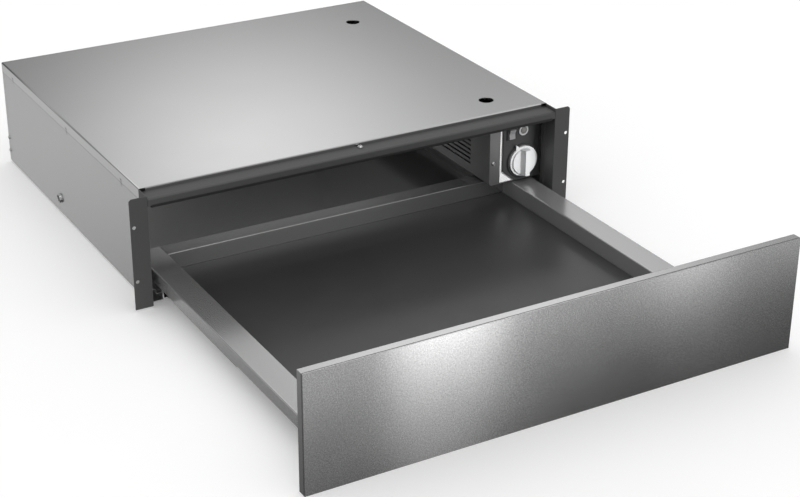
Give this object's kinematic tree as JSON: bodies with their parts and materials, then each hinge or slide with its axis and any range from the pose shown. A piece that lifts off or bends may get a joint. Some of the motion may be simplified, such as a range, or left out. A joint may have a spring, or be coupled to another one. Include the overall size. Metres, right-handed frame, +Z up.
{
  "type": "built in warming drawer",
  "caption": "Low built-in warming drawer: steel case with a fan heater box and knob at its right, and a full-width fronted tray on telescopic ball slides, shown open.",
  "frame": {"origin": "on the underside of the case's floor, in the middle of its width, in the plane where the case's sides and top cover begin; the front flanges stand 20.8 mm in front of it", "axes": "+X to the right as one faces the drawer, +Y into the niche, +Z up"},
  "size_m": [0.595, 0.9315, 0.141],
  "materials": {
    "case_steel": "cold rolled stainless sheet, satin",
    "cover_steel": "cold rolled stainless sheet, satin, pale",
    "front_frame_steel": "satin steel that reflects a dark room",
    "seal_rubber": "soft black rubber",
    "fan_box_steel": "satin steel sheet, grey",
    "plate_steel": "bright steel sheet",
    "fascia_plastic": "dark grey moulded plastic",
    "knob_finish": "silver grey moulded plastic",
    "bright_steel": "bright plated steel",
    "zinc_steel": "zinc plated steel",
    "copper_tube": "drawn copper",
    "black_plastic": "black moulded plastic",
    "rocker_plastic": "grey moulded plastic",
    "lamp_lens": "frosted amber plastic lens",
    "lamp_rim": "grey moulded plastic",
    "wheel_metal": "stamped aluminium",
    "motor_core": "varnished steel laminations",
    "heater_sheath": "dark annealed steel sheath",
    "pale_ceramic": "pale ceramic",
    "terminal_plastic": "pale moulded plastic",
    "slide_steel": "zinc plated rolled steel",
    "cage_metal": "yellow passivated ball cage with bright balls",
    "drawer_steel": "satin stainless sheet",
    "mat_rubber": "dark grey non-slip rubber",
    "panel_frame_steel": "grey folded pan",
    "panel_steel": "fine grained stainless sheet",
    "plunger_plastic": "dark grey acetal"
  },
  "bodies": {
    "case": {"base_shell": "case_steel", "top_cover": "cover_steel", "rear_panel": "case_steel", "left_flange": "front_frame_steel", "right_flange": "front_frame_steel", "top_rail": "front_frame_steel", "rail_seal": "seal_rubber", "fan_box": "fan_box_steel", "control_plate": "plate_steel", "control_fascia": "fascia_plastic", "thermostat_body": "zinc_steel", "thermostat_sensor": "copper_tube", "switch_body": "black_plastic", "pilot_lens": "lamp_lens", "pilot_body": "lamp_rim", "fan_housing": "zinc_steel", "fan_motor": "motor_core", "heater_element": "heater_sheath", "thermal_cutout": "pale_ceramic", "terminal_block": "terminal_plastic", "cable_gland": "black_plastic", "left_case_slide": "slide_steel", "right_case_slide": "slide_steel", "slide_brackets": "zinc_steel", "latch_housing": "black_plastic", "case_screws": "bright_steel", "control_screw": "bright_steel", "rail_screw": "bright_steel"},
    "drawer": {"drawer_floor": "drawer_steel", "left_wall": "drawer_steel", "right_wall": "drawer_steel", "back_wall": "drawer_steel", "floor_mat": "mat_rubber", "left_runner_bracket": "zinc_steel", "right_runner_bracket": "zinc_steel", "panel_frame": "panel_frame_steel", "front_panel": "panel_steel", "panel_brackets": "bright_steel", "left_drawer_slide": "slide_steel", "right_drawer_slide": "slide_steel", "latch_striker": "zinc_steel"},
    "left_mid_member": {"left_mid_slide": "slide_steel"},
    "right_mid_member": {"right_mid_slide": "slide_steel"},
    "left_outer_balls": {"left_outer_cage": "cage_metal"},
    "right_outer_balls": {"right_outer_cage": "cage_metal"},
    "left_inner_balls": {"left_inner_cage": "cage_metal"},
    "right_inner_balls": {"right_inner_cage": "cage_metal"},
    "knob": {"temperature_knob": "knob_finish", "thermostat_shaft": "bright_steel"},
    "rocker": {"switch_rocker": "rocker_plastic"},
    "fan": {"fan_wheel": "wheel_metal", "motor_shaft": "bright_steel"},
    "plunger": {"latch_plunger": "plunger_plastic"}
  },
  "joints": [
    {"name": "drawer_travel", "type": "slide", "parent": "case", "child": "drawer", "axis": [0, 1, 0], "range_m": [0, 0.414]},
    {"name": "left_mid_travel", "type": "slide", "parent": "case", "child": "left_mid_member", "axis": [0, 1, 0], "range_m": [0, 0.207]},
    {"name": "right_mid_travel", "type": "slide", "parent": "case", "child": "right_mid_member", "axis": [0, 1, 0], "range_m": [0, 0.207]},
    {"name": "left_outer_ball_travel", "type": "slide", "parent": "case", "child": "left_outer_balls", "axis": [0, 1, 0], "range_m": [0, 0.1035]},
    {"name": "right_outer_ball_travel", "type": "slide", "parent": "case", "child": "right_outer_balls", "axis": [0, 1, 0], "range_m": [0, 0.1035]},
    {"name": "left_inner_ball_travel", "type": "slide", "parent": "case", "child": "left_inner_balls", "axis": [0, 1, 0], "range_m": [0, 0.3105]},
    {"name": "right_inner_ball_travel", "type": "slide", "parent": "case", "child": "right_inner_balls", "axis": [0, 1, 0], "range_m": [0, 0.3105]},
    {"name": "knob_turn", "type": "hinge", "parent": "case", "child": "knob", "pos_m": [0.2456, 0, 0.0637], "axis": [0, 1, 0], "range_deg": [0, 270]},
    {"name": "rocker_tilt", "type": "hinge", "parent": "case", "child": "rocker", "pos_m": [0.2285, 0.01, 0.103], "axis": [1, 0, 0], "range_deg": [-16, 0]},
    {"name": "fan_spin", "type": "hinge", "parent": "case", "child": "fan", "pos_m": [0.2145, 0.211, 0.084], "axis": [1, 0, 0], "continuous": true},
    {"name": "plunger_travel", "type": "slide", "parent": "case", "child": "plunger", "axis": [0, 1, 0], "range_m": [-0.01, 0.003]}
  ],
  "couplings": [
    {"joint": "left_mid_travel", "follows": "drawer_travel", "ratio": 0.5},
    {"joint": "right_mid_travel", "follows": "drawer_travel", "ratio": 0.5},
    {"joint": "left_outer_ball_travel", "follows": "drawer_travel", "ratio": 0.25},
    {"joint": "right_outer_ball_travel", "follows": "drawer_travel", "ratio": 0.25},
    {"joint": "left_inner_ball_travel", "follows": "drawer_travel", "ratio": 0.75},
    {"joint": "right_inner_ball_travel", "follows": "drawer_travel", "ratio": 0.75}
  ]
}
